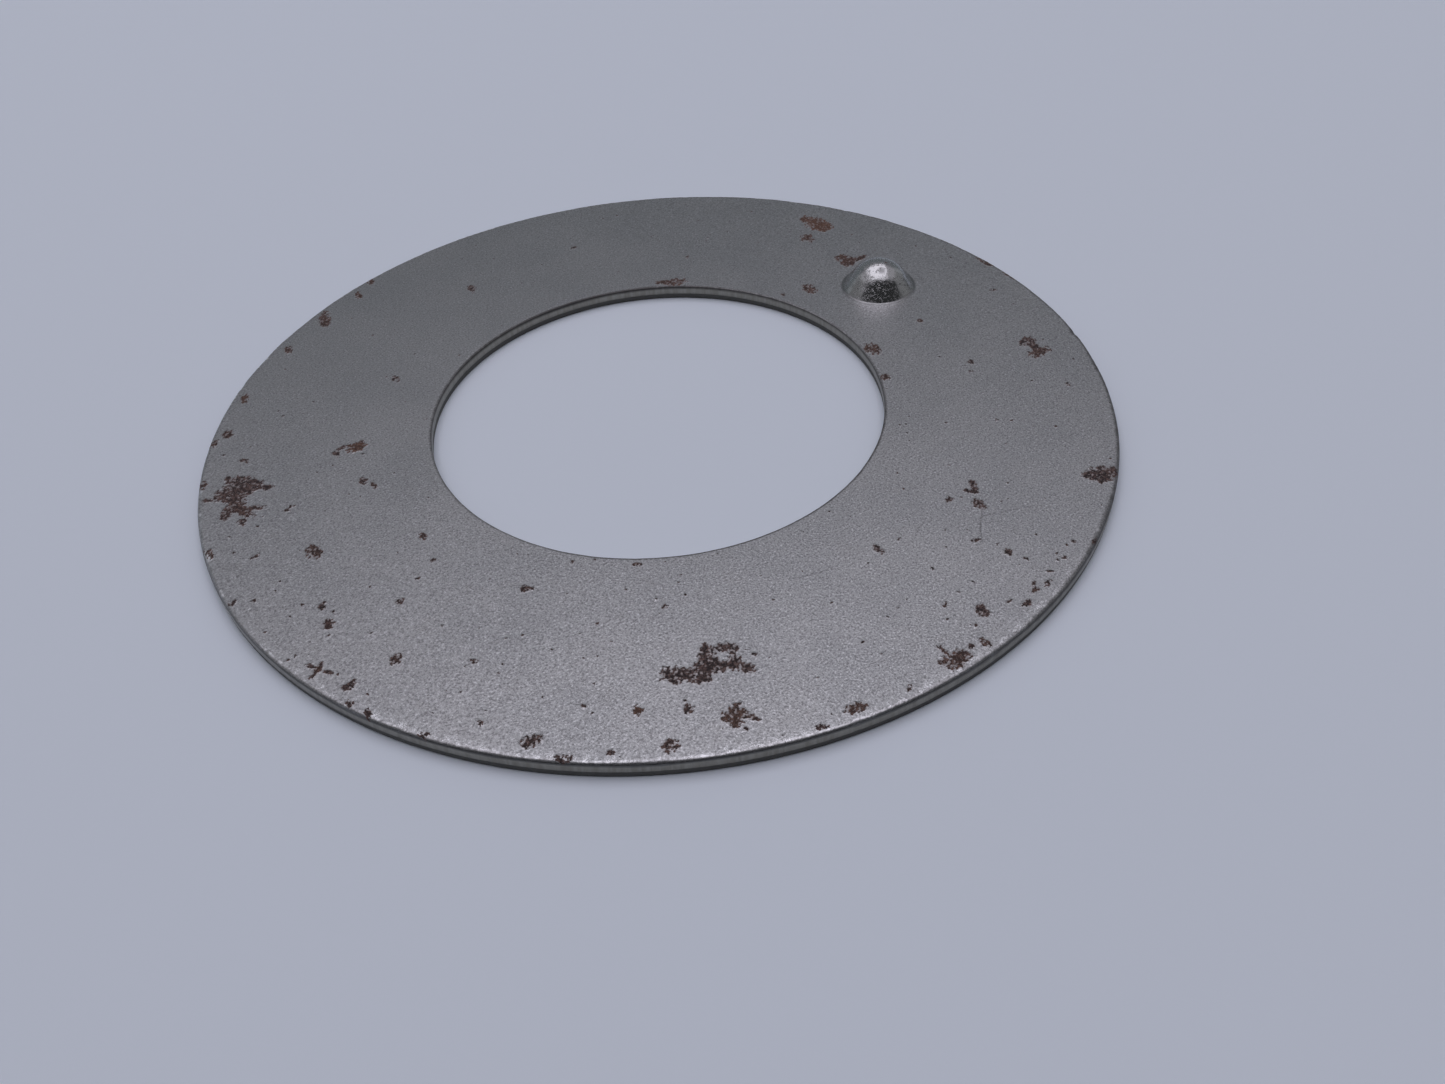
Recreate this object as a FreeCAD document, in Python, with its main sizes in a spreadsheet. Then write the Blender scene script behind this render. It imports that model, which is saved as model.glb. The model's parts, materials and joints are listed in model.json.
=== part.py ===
import FreeCAD, Part
import math
import os
import Sketcher

# A large thrust-type flat washer: one disc blanked from sheet steel, with a plain centre hole and a
# locating dimple pressed up out of the same sheet.  Millimetres, +Z up.  The origin is the centre of
# the hole at the underside, and +X points from there towards the dimple.

# Driving dimensions: (alias, value, meaning).
DIMENSIONS = [
    ("outer_diameter", 90.0, "rim of the disc"),
    ("hole_diameter", 45.5, "centre hole, for a 45 mm shaft"),
    ("sheet_thickness", 1.5, "sheet that the disc is blanked from"),
    ("upper_rim_radius", 0.3, "rounding of the upper edges, where the punch drew them in"),
    ("lower_rim_radius", 0.1, "rounding of the lower edges, where the burr was tumbled off"),
    ("dimple_offset", 32.0, "centre of the hole to the axis of the dimple"),
    ("dimple_height", 3.1, "crown of the dimple above the upper face"),
    ("dimple_base_diameter", 8.3, "where the dimple's foot runs out into the upper face"),
    ("dimple_foot_radius", 0.3, "inside corner between the dimple's flank and the upper face"),
    ("crown_radius", 3.5, "ball-shaped crown of the dimple"),
    ("crown_wall", 1.15, "sheet left over the crown after it was stretched"),
    ("punch_nose_radius", 2.3, "ball nose that pressed the dimple up from below"),
    ("recess_mouth_diameter", 8.0, "where the recess's lip runs out into the underside"),
    ("recess_lip_radius", 0.5, "rounded lip between the recess's flank and the underside"),
]
SHEET_NAME = "Dimensions"
UNDERCUT = 1.0  # how far the recess's cutting profile reaches below the underside

SIZE = {alias: value for alias, value, meaning in DIMENSIONS}


def make_dimension_sheet(document):
    """The spreadsheet that every feature takes its sizes from."""
    sheet = document.addObject("Spreadsheet::Sheet", SHEET_NAME)
    for row, (alias, value, meaning) in enumerate(DIMENSIONS, start=1):
        sheet.set(f"A{row}", meaning)
        sheet.set(f"B{row}", str(value))
        sheet.setAlias(f"B{row}", alias)
    document.recompute()
    return sheet


def origin_plane(body, role):
    """One of the body's own origin planes, such as XY_Plane."""
    return next(plane for plane in body.Origin.OriginFeatures if plane.Role == role)


def add_sketch(body, name, role):
    """An empty sketch on one of the body's origin planes."""
    sketch = body.newObject("Sketcher::SketchObject", name)
    sketch.AttachmentSupport = [(origin_plane(body, role), "")]
    sketch.MapMode = "FlatFace"
    return sketch


def drive(sketch, name, formula, *constraint):
    """Adds a dimension to the sketch and binds it to the spreadsheet."""
    index = sketch.addConstraint(Sketcher.Constraint(*constraint))
    sketch.renameConstraint(index, name)
    sketch.setExpression(f"Constraints.{name}", formula)


def cell(alias):
    """How a formula refers to one driving dimension."""
    return f"{SHEET_NAME}.{alias}"


def add_blank(body):
    """The disc with its hole, as blanked from the sheet."""
    sketch = add_sketch(body, "BlankOutline", "XY_Plane")
    centre = FreeCAD.Vector(0, 0, 0)
    up = FreeCAD.Vector(0, 0, 1)
    for name, diameter in (("rim", "outer_diameter"), ("hole", "hole_diameter")):
        circle = sketch.addGeometry(Part.Circle(centre, up, SIZE[diameter] / 2), False)
        sketch.addConstraint(Sketcher.Constraint("Coincident", circle, 3, -1, 1))
        drive(sketch, name, cell(diameter), "Diameter", circle, SIZE[diameter])
    pad = body.newObject("PartDesign::Pad", "Blank")
    pad.Profile = sketch
    pad.setExpression("Length", cell("sheet_thickness"))
    sketch.Visibility = False
    return pad


def draw_bell(sketch, floor, foot_level, apex, mouth_radius, nose_radius, foot_radius):
    """Half of a bell-shaped profile beside the dimple's axis: ball nose, straight flank, rounded foot.

    Heights are in the sketch's own Y.  The nose runs down from the apex and turns smoothly into the
    flank, and the flank into the foot, which ends level at foot_level, mouth_radius from the axis.
    The profile closes at floor.  Returns the numbers of the nose arc, the foot arc and the base line.
    """
    axis_x = SIZE["dimple_offset"]
    out_of_page = FreeCAD.Vector(0, 0, 1)
    nose_centre = FreeCAD.Vector(axis_x, apex - nose_radius, 0)
    foot_centre = FreeCAD.Vector(axis_x + mouth_radius, foot_level + foot_radius, 0)
    between = foot_centre - nose_centre
    flank_angle = math.atan2(between.y, between.x)
    flank_angle += math.acos((nose_radius + foot_radius) / between.Length)
    flank_normal = FreeCAD.Vector(math.cos(flank_angle), math.sin(flank_angle), 0)
    flank_top = nose_centre + flank_normal * nose_radius
    flank_foot = foot_centre - flank_normal * foot_radius
    floor_inner = FreeCAD.Vector(axis_x, floor, 0)
    floor_outer = FreeCAD.Vector(axis_x + mouth_radius, floor, 0)
    top = FreeCAD.Vector(axis_x, apex, 0)
    run_out = FreeCAD.Vector(axis_x + mouth_radius, foot_level, 0)

    nose_circle = Part.Circle(nose_centre, out_of_page, nose_radius)
    foot_circle = Part.Circle(foot_centre, out_of_page, foot_radius)
    inner = sketch.addGeometry(Part.LineSegment(floor_inner, top), False)
    nose = sketch.addGeometry(Part.ArcOfCircle(nose_circle, flank_angle, math.pi / 2), False)
    flank = sketch.addGeometry(Part.LineSegment(flank_top, flank_foot), False)
    foot = sketch.addGeometry(
        Part.ArcOfCircle(foot_circle, math.pi + flank_angle, 1.5 * math.pi), False
    )
    outer = sketch.addGeometry(Part.LineSegment(run_out, floor_outer), False)
    base = sketch.addGeometry(Part.LineSegment(floor_outer, floor_inner), False)
    axis = sketch.addGeometry(Part.LineSegment(floor_inner, top), True)
    for constraint in (
        ("Vertical", inner),
        ("Coincident", inner, 2, nose, 2),
        ("PointOnObject", nose, 3, inner),
        ("Tangent", nose, 1, flank, 1),
        ("Tangent", flank, 2, foot, 1),
        ("Coincident", foot, 2, outer, 1),
        ("Vertical", foot, 3, foot, 2),
        ("Vertical", outer),
        ("Coincident", outer, 2, base, 1),
        ("Horizontal", base),
        ("Coincident", base, 2, inner, 1),
        ("Coincident", axis, 1, inner, 1),
        ("Coincident", axis, 2, inner, 2),
    ):
        sketch.addConstraint(Sketcher.Constraint(*constraint))
    drive(sketch, "axis_offset", cell("dimple_offset"), "DistanceX", -1, 1, inner, 1, axis_x)
    return nose, foot, base


def add_dimple(body):
    """The raised outside of the dimple, revolved about its own axis and joined to the disc."""
    thickness = SIZE["sheet_thickness"]
    root = thickness / 2
    apex = thickness + SIZE["dimple_height"]
    mouth_radius = SIZE["dimple_base_diameter"] / 2
    nose_radius = SIZE["crown_radius"]
    foot_radius = SIZE["dimple_foot_radius"]
    sketch = add_sketch(body, "DimpleProfile", "XZ_Plane")
    nose, foot, base = draw_bell(sketch, root, thickness, apex, mouth_radius, nose_radius, foot_radius)
    drive(sketch, "crown", cell("crown_radius"), "Radius", nose, nose_radius)
    drive(sketch, "foot", cell("dimple_foot_radius"), "Radius", foot, foot_radius)
    drive(sketch, "base_width", f"{cell('dimple_base_diameter')} / 2",
          "DistanceX", base, 2, base, 1, mouth_radius)
    drive(sketch, "root_level", f"{cell('sheet_thickness')} / 2", "DistanceY", -1, 1, base, 1, root)
    drive(sketch, "face_level", cell("sheet_thickness"), "DistanceY", -1, 1, foot, 2, thickness)
    drive(sketch, "apex_level", f"{cell('sheet_thickness')} + {cell('dimple_height')}",
          "DistanceY", -1, 1, nose, 2, apex)
    dimple = body.newObject("PartDesign::Revolution", "Dimple")
    dimple.Profile = sketch
    dimple.ReferenceAxis = (sketch, ["Axis0"])
    dimple.Angle = 360
    sketch.Visibility = False
    return dimple


def add_recess(body):
    """The hollow that the punch left under the dimple."""
    apex = SIZE["sheet_thickness"] + SIZE["dimple_height"] - SIZE["crown_wall"]
    mouth_radius = SIZE["recess_mouth_diameter"] / 2
    nose_radius = SIZE["punch_nose_radius"]
    lip_radius = SIZE["recess_lip_radius"]
    sketch = add_sketch(body, "RecessProfile", "XZ_Plane")
    nose, lip, base = draw_bell(sketch, -UNDERCUT, 0.0, apex, mouth_radius, nose_radius, lip_radius)
    sketch.addConstraint(Sketcher.Constraint("PointOnObject", lip, 2, -1))
    drive(sketch, "punch_nose", cell("punch_nose_radius"), "Radius", nose, nose_radius)
    drive(sketch, "lip", cell("recess_lip_radius"), "Radius", lip, lip_radius)
    drive(sketch, "mouth_width", f"{cell('recess_mouth_diameter')} / 2",
          "DistanceX", base, 2, base, 1, mouth_radius)
    sketch.addConstraint(Sketcher.Constraint("DistanceY", base, 1, -1, 1, UNDERCUT))
    drive(sketch, "recess_depth",
          f"{cell('sheet_thickness')} + {cell('dimple_height')} - {cell('crown_wall')}",
          "DistanceY", -1, 1, nose, 2, apex)
    recess = body.newObject("PartDesign::Groove", "Recess")
    recess.Profile = sketch
    recess.ReferenceAxis = (sketch, ["Axis0"])
    recess.Angle = 360
    sketch.Visibility = False
    return recess


def rim_edges(shape, level):
    """Names of the disc's outer and hole edges that lie at the given height."""
    radii = (SIZE["outer_diameter"] / 2, SIZE["hole_diameter"] / 2)
    names = []
    for number, edge in enumerate(shape.Edges, start=1):
        curve = edge.Curve
        if not isinstance(curve, Part.Circle) or abs(curve.Center.z - level) > 1e-6:
            continue
        if any(abs(curve.Radius - radius) < 1e-6 for radius in radii):
            names.append(f"Edge{number}")
    return names


def add_rim_rounding(body, name, level, alias):
    """Rounds the outer edge and the hole edge on one face of the disc."""
    before = body.Tip
    rounding = body.newObject("PartDesign::Fillet", name)
    rounding.Base = (before, rim_edges(before.Shape, level))
    rounding.setExpression("Radius", cell(alias))
    return rounding


def build_washer(document):
    """The washer's body, feature by feature, in the order that the press makes it."""
    body = document.addObject("PartDesign::Body", "flat_washer")
    body.Label = "flat_washer"
    body.Placement = FreeCAD.Placement(FreeCAD.Vector(0, 0, 0), FreeCAD.Rotation())
    add_blank(body)
    document.recompute()
    add_rim_rounding(body, "UpperRimRounding", SIZE["sheet_thickness"], "upper_rim_radius")
    document.recompute()
    add_rim_rounding(body, "LowerRimRounding", 0.0, "lower_rim_radius")
    document.recompute()
    disc_volume = body.Shape.Volume
    add_dimple(body)
    document.recompute()
    domed_volume = body.Shape.Volume
    add_recess(body)
    document.recompute()
    if not domed_volume > disc_volume:
        raise RuntimeError("the dimple added no material")
    if not body.Shape.Volume < domed_volume:
        raise RuntimeError("the recess removed no material")
    return body


def check_document(document, bodies):
    """Stops before anything is written if a feature failed or a shape is not a sound solid."""
    for item in document.Objects:
        if "Invalid" in item.State or "Error" in item.State:
            raise RuntimeError(f"{item.Name} did not compute: {item.State}")
    for body in bodies:
        shape = body.Shape
        if shape.isNull() or not shape.isValid() or len(shape.Solids) != 1:
            raise RuntimeError(f"{body.Label} is not one valid solid")


def main():
    document = FreeCAD.newDocument("FlatWasher")
    make_dimension_sheet(document)
    bodies = [build_washer(document)]
    check_document(document, bodies)
    os.makedirs("parts", exist_ok=True)
    for body in bodies:
        body.Shape.exportStep(os.path.join("parts", f"{body.Label}.step"))
        box = body.Shape.optimalBoundingBox()
        print(f"{body.Label}: {box.XLength:.3f} x {box.YLength:.3f} x {box.ZLength:.3f} mm, "
              f"{body.Shape.Volume:.1f} mm3")


main()
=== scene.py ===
"""The looks of a large stamped flat washer with a locating dimple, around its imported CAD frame.

The washer is rebuilt as one closed mesh with the detail that the CAD solid leaves out: drawn-in and
chipped edges, the sheared wall, a slight bow, a dented dimple and crusts of rust.  Lengths are in
millimetres while the mesh is made and in its material, and in metres elsewhere.  Bearings are in
degrees round +Z from +X, where the dimple is.
"""

import heapq
import json
import math
import random

import bpy
import numpy as np
from mathutils import Matrix, Vector
from mathutils.geometry import delaunay_2d_cdt


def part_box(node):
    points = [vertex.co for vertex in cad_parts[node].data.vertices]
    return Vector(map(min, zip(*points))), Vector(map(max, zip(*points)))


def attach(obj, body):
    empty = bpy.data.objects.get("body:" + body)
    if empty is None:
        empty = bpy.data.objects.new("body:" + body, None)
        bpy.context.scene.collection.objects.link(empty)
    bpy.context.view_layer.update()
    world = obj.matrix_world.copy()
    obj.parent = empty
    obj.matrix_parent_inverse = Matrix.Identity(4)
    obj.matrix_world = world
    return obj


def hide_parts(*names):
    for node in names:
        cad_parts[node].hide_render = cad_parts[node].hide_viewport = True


SEED = 20
MM = 0.001  # one millimetre in metres

# ---- the washer's shape, in millimetres, where the frame doesn't say it ----
CROWN_RADIUS = 3.5
DIMPLE_BASE_RADIUS = 4.15
DIMPLE_FOOT_RADIUS = 0.3
CROWN_WALL = 1.15
PUNCH_NOSE_RADIUS = 2.3
RECESS_MOUTH_RADIUS = 4.0
RECESS_LIP_RADIUS = 0.5
RIM_DRAWN = (0.34, 0.42)  # how far in from the wall, and how deep, the upper edge is drawn down
HOLE_DRAWN = (0.14, 0.18)
LOWER_EDGE_RADIUS = 0.1
TORN_SHARE = 0.42  # lower part of the wall, which tore instead of being cut
TORN_INSET = 0.03  # how far the torn part leans in
BOW = 0.07  # how far the ring's high sides stand off a flat floor
BOW_BEARING = 20.0

# ---- painted shade on the upper corners, a dark line in their colour: (all round, more at some places, how many places, bearing of one) ----
RIM_EDGE_SHADE = (0.0, 0.9, 1, 345.0)
HOLE_EDGE_SHADE = (0.8, 0.3, 2, 80.0)
RIM_LIP_SHADE = 0.6  # share of the corner's painted shade that reaches the flat face beside it
HOLE_LIP_SHADE = 1.0

# ---- mesh spacing, in millimetres ----
GRAIN = 0.12  # spacing of the hexagonal net of cells that rust grows over
GRAIN_JITTER = 0.28  # how far points stray from the net, as a share of its spacing
NEIGHBOURS = ((1, 0), (0, 1), (-1, 1), (-1, 0), (0, -1), (1, -1))  # steps from a cell to the six beside it
UPPER_SPACING = 0.8  # net of points on the bare upper face
LOWER_SPACING = 1.4
NET_JITTER = 0.2
DIMPLE_SPACING = 0.15
RECESS_SPACING = 0.2
GUARD = 0.16  # first ring of points inside a rounded edge
RIM_STEPS = 1200  # points round the edge
HOLE_STEPS = 720
FOLD_ROOM = 0.6  # room for a folded-out edge in the texture layout, besides the sheet's thickness
LAYOUT_GAP = 0.5  # bare strip round the underside in the layout
LAYOUT_HALF = 0.495  # half the width of the layout that is used

# ---- rust: tone runs from 0 brown to 1 orange, cover is how full its outline is ----
BLOOM_COVER = 0.68
SPOT_COVER = 0.66
UNDERSIDE_COVER = 0.55
SPECK_COVER = 0.9
CRUST_HEIGHT = 0.045
UNDERSIDE_CRUST_HEIGHT = 0.03

# Blooms: (radius, bearing, lobes), each lobe (east, north, length, width, tilt, tone) from that centre.
BLOOMS = [
    (36.0, 238.0, [
        (-2.5, 1.2, 2.8, 1.7, -50, 0.2), (-1.4, -0.2, 2.6, 1.8, -45, 0.15), (-0.3, 0.3, 2.0, 1.6, 20, 0.1),
        (0.6, 0.9, 2.6, 1.7, 70, 0.05), (0.4, -0.6, 2.0, 1.4, -40, 0.15), (1.1, 1.9, 1.0, 0.6, 60, 0.2),
        (2.3, 0.4, 2.3, 1.3, -60, 0.2), (1.6, -1.0, 2.0, 1.5, 60, 0.2), (2.0, -2.2, 1.7, 1.1, -70, 0.3),
        (3.4, -1.5, 0.7, 0.4, -40, 0.3), (-3.7, 1.5, 0.4, 0.3, 0, 0.2), (-3.1, 0.5, 1.2, 0.6, -60, 0.3),
    ]),
    (41.5, 155.9, [
        (1.2, 1.2, 3.6, 2.4, -60, 0.35), (-0.6, 0.6, 3.0, 2.4, 80, 0.45), (0.6, -0.2, 2.8, 2.2, 0, 0.4),
        (2.3, 0.2, 1.6, 1.4, -30, 0.3), (-0.6, -1.8, 2.8, 2.2, 70, 0.5), (-1.9, -2.2, 2.0, 1.2, 60, 0.4),
        (-0.3, -3.2, 2.4, 1.3, -80, 0.55), (-1.2, -4.3, 1.2, 1.0, 90, 0.45), (0.5, 2.9, 1.2, 0.7, 80, 0.3),
        (2.5, -0.9, 2.0, 1.0, -35, 0.35), (0.7, -3.2, 1.9, 0.8, -35, 0.45), (-2.2, 1.1, 1.3, 0.7, -35, 0.4),
    ]),
    (30.4, 148.7, [
        (0.1, -0.3, 2.3, 1.8, -10, 0.8), (0.5, -0.5, 1.4, 1.2, 0, 0.7), (-1.7, 0.2, 1.4, 0.8, 75, 0.3),
        (-1.0, 0.5, 1.3, 0.6, 10, 0.4), (0.9, 0.1, 0.8, 0.6, 90, 0.5),
    ]),
    (40.8, 23.5, [
        (-0.2, -1.2, 4.2, 3.0, 82, 0.95), (-0.2, -2.2, 2.6, 2.4, 60, 0.9), (-0.3, 0.8, 2.2, 1.7, 80, 0.8),
    ]),
    (34.4, 11.3, [
        (-0.3, -0.1, 2.9, 2.2, 80, 0.6), (-0.7, -1.0, 1.6, 1.5, 0, 0.55), (1.3, -1.0, 2.0, 1.0, -15, 0.5),
        (0.1, 0.8, 1.2, 0.9, 45, 0.7), (0.6, -0.95, 1.4, 0.8, -10, 0.5),
    ]),
    (43.3, 113.1, [(0.1, -0.2, 3.8, 1.4, 62, 0.55), (-0.2, -1.0, 1.8, 1.2, 60, 0.5)]),
    (39.85, 330.0, [
        (0.1, 1.0, 2.4, 1.6, 0, 0.3), (-0.1, -0.1, 1.8, 1.2, 80, 0.4), (-0.5, -1.1, 3.2, 1.7, -5, 0.5),
    ]),
    (43.3, 263.7, [
        (0.1, -0.3, 2.5, 2.0, 0, 0.6), (0.2, 1.0, 1.0, 0.5, 85, 0.5), (1.2, -0.5, 1.2, 0.8, 90, 0.5),
        (-0.8, 0.2, 0.9, 0.7, 0, 0.5), (0.3, 1.5, 0.5, 0.4, 0, 0.4),
    ]),
    (41.6, 239.7, [
        (0.0, 0.2, 2.1, 2.0, 0, 0.65), (-0.5, -0.4, 1.0, 1.0, 0, 0.6), (0.9, -0.7, 1.6, 0.7, -75, 0.5),
        (-0.2, -1.4, 0.6, 0.4, 90, 0.5), (0.8, 0.8, 1.0, 0.7, 0, 0.5),
    ]),
    (43.4, 192.0, [
        (-0.2, 0.8, 1.3, 0.5, -65, 0.4), (0.1, -0.1, 0.9, 0.8, 0, 0.6), (-0.5, -0.4, 1.2, 0.4, 10, 0.4),
        (0.6, 0.3, 1.0, 0.4, 35, 0.4), (0.6, -0.9, 1.6, 0.4, -55, 0.4), (1.1, -1.7, 0.4, 0.3, 0, 0.3),
    ]),
    (43.5, 300.6, [
        (0.1, 0.0, 3.1, 2.4, -25, 0.3), (-0.8, 0.5, 2.0, 1.4, -50, 0.2), (1.0, -0.4, 1.5, 1.4, 0, 0.4),
        (-0.5, -0.6, 1.4, 0.9, 0, 0.4),
    ]),
    (33.2, 291.3, [
        (-0.25, 0.25, 1.3, 0.6, -60, 0.2), (0.55, 0.45, 1.8, 0.7, 62, 0.25),
        (0.15, -0.25, 0.8, 0.6, 0, 0.2), (0.8, 1.0, 0.8, 0.6, 0, 0.3),
    ]),
]
# Spots: (radius, bearing, length, width, tilt, tone).
SPOTS = [
    (43.7, 251.6, 2.1, 1.2, -20, 0.6), (43.3, 218.7, 2.1, 1.3, -20, 0.45),
    (44.6, 222.5, 1.8, 0.9, -45, 0.4), (43.5, 232.8, 1.7, 1.4, -20, 0.5),
    (34.3, 288.7, 1.8, 1.2, 85, 0.3), (31.7, 287.7, 0.9, 0.8, 0, 0.1), (30.3, 270.5, 1.8, 0.7, 90, 0.2),
    (30.8, 274.5, 0.7, 0.3, 10, 0.1), (32.6, 327.9, 1.0, 0.8, 30, 0.35),
    (32.1, 325.1, 0.6, 0.5, 0, 0.4), (41.2, 319.8, 0.8, 0.5, 60, 0.2), (23.8, 339.4, 2.7, 1.8, 75, 0.6),
    (23.4, 326.3, 1.5, 1.1, 40, 0.5), (36.6, 21.8, 2.4, 1.7, 60, 0.6), (26.5, 11.0, 2.4, 1.8, 80, 0.6),
    (23.9, 15.0, 1.0, 0.5, 80, 0.5), (23.8, 46.3, 2.6, 1.9, -40, 0.6), (23.8, 50.0, 1.7, 1.3, -40, 0.6),
    (33.2, 92.3, 2.0, 1.1, 70, 0.4), (34.8, 68.5, 0.9, 0.7, 0, 0.3), (43.1, 105.6, 2.0, 0.9, 70, 0.6),
    (44.3, 101.7, 1.6, 1.0, 60, 0.6), (43.2, 121.8, 1.7, 1.2, 60, 0.5),
    (43.6, 134.0, 2.0, 1.0, 60, 0.7), (43.4, 142.1, 1.8, 1.2, 60, 0.5),
    (44.5, 143.9, 1.4, 1.0, 30, 0.5), (40.9, 148.6, 1.4, 0.7, -60, 0.4),
    (44.6, 152.6, 1.6, 1.0, 60, 0.5), (28.8, 126.3, 1.6, 0.8, 85, 0.2),
    (29.7, 160.0, 1.4, 1.0, 60, 0.3), (28.9, 162.3, 1.2, 0.7, 80, 0.5),
    (36.7, 161.8, 1.1, 0.7, 20, 0.3), (44.4, 166.1, 1.8, 0.8, 80, 0.6), (40.7, 169.6, 1.5, 0.4, 0, 0.3),
    (36.3, 173.4, 2.5, 1.5, 80, 0.5), (44.4, 176.0, 1.2, 0.6, 30, 0.3), (42.9, 177.2, 0.6, 0.5, 0, 0.4),
    (27.8, 181.8, 1.4, 0.7, 90, 0.5), (29.1, 188.5, 0.8, 0.5, 0, 0.4), (38.7, 183.9, 1.2, 0.9, 40, 0.3),
    (39.6, 187.4, 1.6, 1.1, 60, 0.5), (31.5, 189.9, 0.7, 0.3, 0, 0.3), (34.2, 191.5, 1.0, 0.7, 20, 0.3),
    (43.1, 196.8, 1.6, 1.0, 15, 0.4), (44.4, 198.5, 1.0, 0.7, 70, 0.4),
    (39.1, 198.6, 1.5, 1.1, 30, 0.5), (44.7, 201.3, 1.5, 0.8, 75, 0.4),
    (27.9, 207.9, 1.4, 1.0, -30, 0.45), (23.8, 213.3, 0.6, 0.4, 0, 0.4),
    (36.8, 207.7, 0.9, 0.5, -60, 0.5), (33.7, 209.9, 0.4, 0.3, 0, 0.2),
    (44.7, 208.0, 1.1, 0.7, -60, 0.3), (42.4, 212.7, 0.7, 0.6, 0, 0.4),
    (23.6, 227.2, 1.3, 0.5, -40, 0.5), (39.5, 223.1, 0.6, 0.5, 0, 0.4), (43.9, 226.8, 0.9, 0.6, 0, 0.4),
    (39.9, 229.3, 1.3, 0.9, 60, 0.8), (40.0, 234.9, 1.3, 0.9, 20, 0.4),
    (44.3, 247.7, 1.2, 0.7, -20, 0.4), (28.9, 232.6, 0.7, 0.5, 0, 0.5),
    (43.9, 257.6, 1.1, 0.4, 30, 0.5), (43.8, 268.0, 1.4, 0.8, 80, 0.5),
    (41.2, 271.5, 1.7, 1.4, 60, 0.3), (43.5, 275.6, 1.2, 0.8, 0, 0.3), (43.6, 279.8, 1.1, 0.6, 10, 0.3),
    (43.1, 281.6, 0.8, 0.4, -50, 0.1), (39.1, 281.9, 1.1, 0.9, 80, 0.2),
    (36.1, 281.4, 1.1, 0.5, -25, 0.1), (38.8, 269.0, 0.9, 0.4, 35, 0.1),
    (33.6, 310.5, 0.5, 0.4, 0, 0.3), (35.0, 310.6, 0.5, 0.3, 0, 0.3), (44.8, 288.6, 1.1, 0.6, 15, 0.4),
    (41.4, 346.3, 1.1, 0.5, -20, 0.4), (44.5, 353.2, 3.6, 0.8, 84, 0.5),
    (44.7, 348.4, 2.2, 0.7, 79, 0.5), (31.0, 344.3, 1.1, 0.7, 80, 0.5), (29.4, 44.7, 0.7, 0.5, 0, 0.4),
    (38.6, 271.9, 0.4, 0.3, 0, 0.1), (35.2, 273.0, 0.6, 0.3, 60, 0.2), (36.8, 262.0, 0.4, 0.3, 0, 0.1),
    (38.0, 257.0, 0.5, 0.3, 0, 0.2), (37.9, 282.4, 0.4, 0.3, 0, 0.0), (40.8, 281.9, 0.7, 0.4, 80, 0.1),
    (38.7, 274.5, 0.5, 0.3, 60, 0.0), (40.0, 267.5, 0.4, 0.3, 0, 0.2), (42.0, 269.1, 0.7, 0.3, 10, 0.2),
    (43.3, 266.4, 0.8, 0.6, 0, 0.4), (42.2, 274.6, 0.8, 0.4, -10, 0.2), (43.2, 278.0, 0.9, 0.8, 0, 0.5),
    (42.7, 278.8, 0.8, 0.4, 30, 0.2), (43.3, 284.5, 0.7, 0.4, -60, 0.2),
    (43.0, 283.7, 0.4, 0.3, 0, 0.2), (42.6, 284.7, 0.4, 0.3, 0, 0.1), (43.3, 287.5, 0.6, 0.5, 0, 0.2),
    (42.9, 286.5, 0.4, 0.3, 0, 0.5), (39.9, 182.0, 0.5, 0.4, 70, 0.2), (43.7, 182.8, 0.4, 0.3, 0, 0.2),
    (38.5, 185.9, 0.6, 0.3, 80, 0.4), (44.2, 188.4, 0.5, 0.3, 0, 0.3),
]
SPECKS = 260  # single dark grains on the upper face
UNDERSIDE_SPOTS = 46
UNDERSIDE_SPECKS = 70

# ---- hairline scratches: (radius, bearing, heading, length, bend per millimetre, shade) ----
# Shade runs from -1 dark to 1 bright.
SCRATCHES = [
    (34.8, 288.5, 207, 5.0, 5.0, -0.8), (31.2, 281.0, 190, 2.6, 9.0, -0.5),
    (37.5, 245.0, 10, 4.0, -3.0, 0.6), (41.0, 206.0, 60, 5.5, 2.0, 0.7),
    (38.5, 214.0, 48, 4.2, 0.0, 0.8), (35.0, 201.0, 100, 3.2, 4.0, 0.6),
    (42.0, 228.0, 15, 3.6, 0.0, 0.7), (33.0, 219.0, 150, 4.8, -2.0, 0.5),
    (28.0, 236.0, 80, 3.4, 3.0, 0.5), (39.0, 292.0, 150, 6.0, 1.0, -0.5),
    (29.5, 262.0, 170, 4.0, -6.0, -0.5), (36.5, 303.0, 95, 4.6, 2.0, 0.5),
    (37.0, 182.0, 80, 5.2, -2.0, 0.5), (41.5, 171.0, 110, 3.0, 0.0, 0.5),
    (32.0, 250.0, 40, 3.8, 1.0, 0.5), (27.0, 196.0, 60, 2.8, 0.0, 0.6),
    (40.5, 276.0, 20, 3.0, 4.0, 0.6), (43.0, 242.0, 155, 2.6, 0.0, 0.9),
]

# ---- nicks in the rim: (bearing, half-width in degrees, depth) ----
NICKS = [
    (331.5, 0.5, 0.22), (232.0, 0.35, 0.12), (251.0, 0.5, 0.14), (268.0, 0.4, 0.1), (205.0, 0.4, 0.12),
    (20.0, 0.4, 0.12), (131.0, 0.4, 0.1),
]

# ---- the belt of painted glints inside the rim, on the stretch of rim facing the camera ----
GLINT_RADII = (43.7, 44.6)  # where it starts, and where it is strongest
GLINT_BEARING = 235.0  # middle of the stretch of rim that has them
GLINT_REACH = (24.0, 34.0)  # how far out along that bearing it starts, and is strongest

# ---- the dent worn into the crown of the dimple ----
DENT_BEARING = 235.0
DENT_TILT = 24.0
DENT_RADIUS = 0.42
DENT_DEPTH = 0.035
# how dark the painted shade in the dent is
DENT_SHADE = 0.8

# ---- the dimple's looks ----
FOOT_SHADE = (0.6, 0.08, 0.17)  # painted shade at the foot: how strong, how far up from the foot, half its width
POLISH_RISE = 9.0  # how fast the polish sets in from the foot
RECESS_POLISH = 0.7

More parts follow.
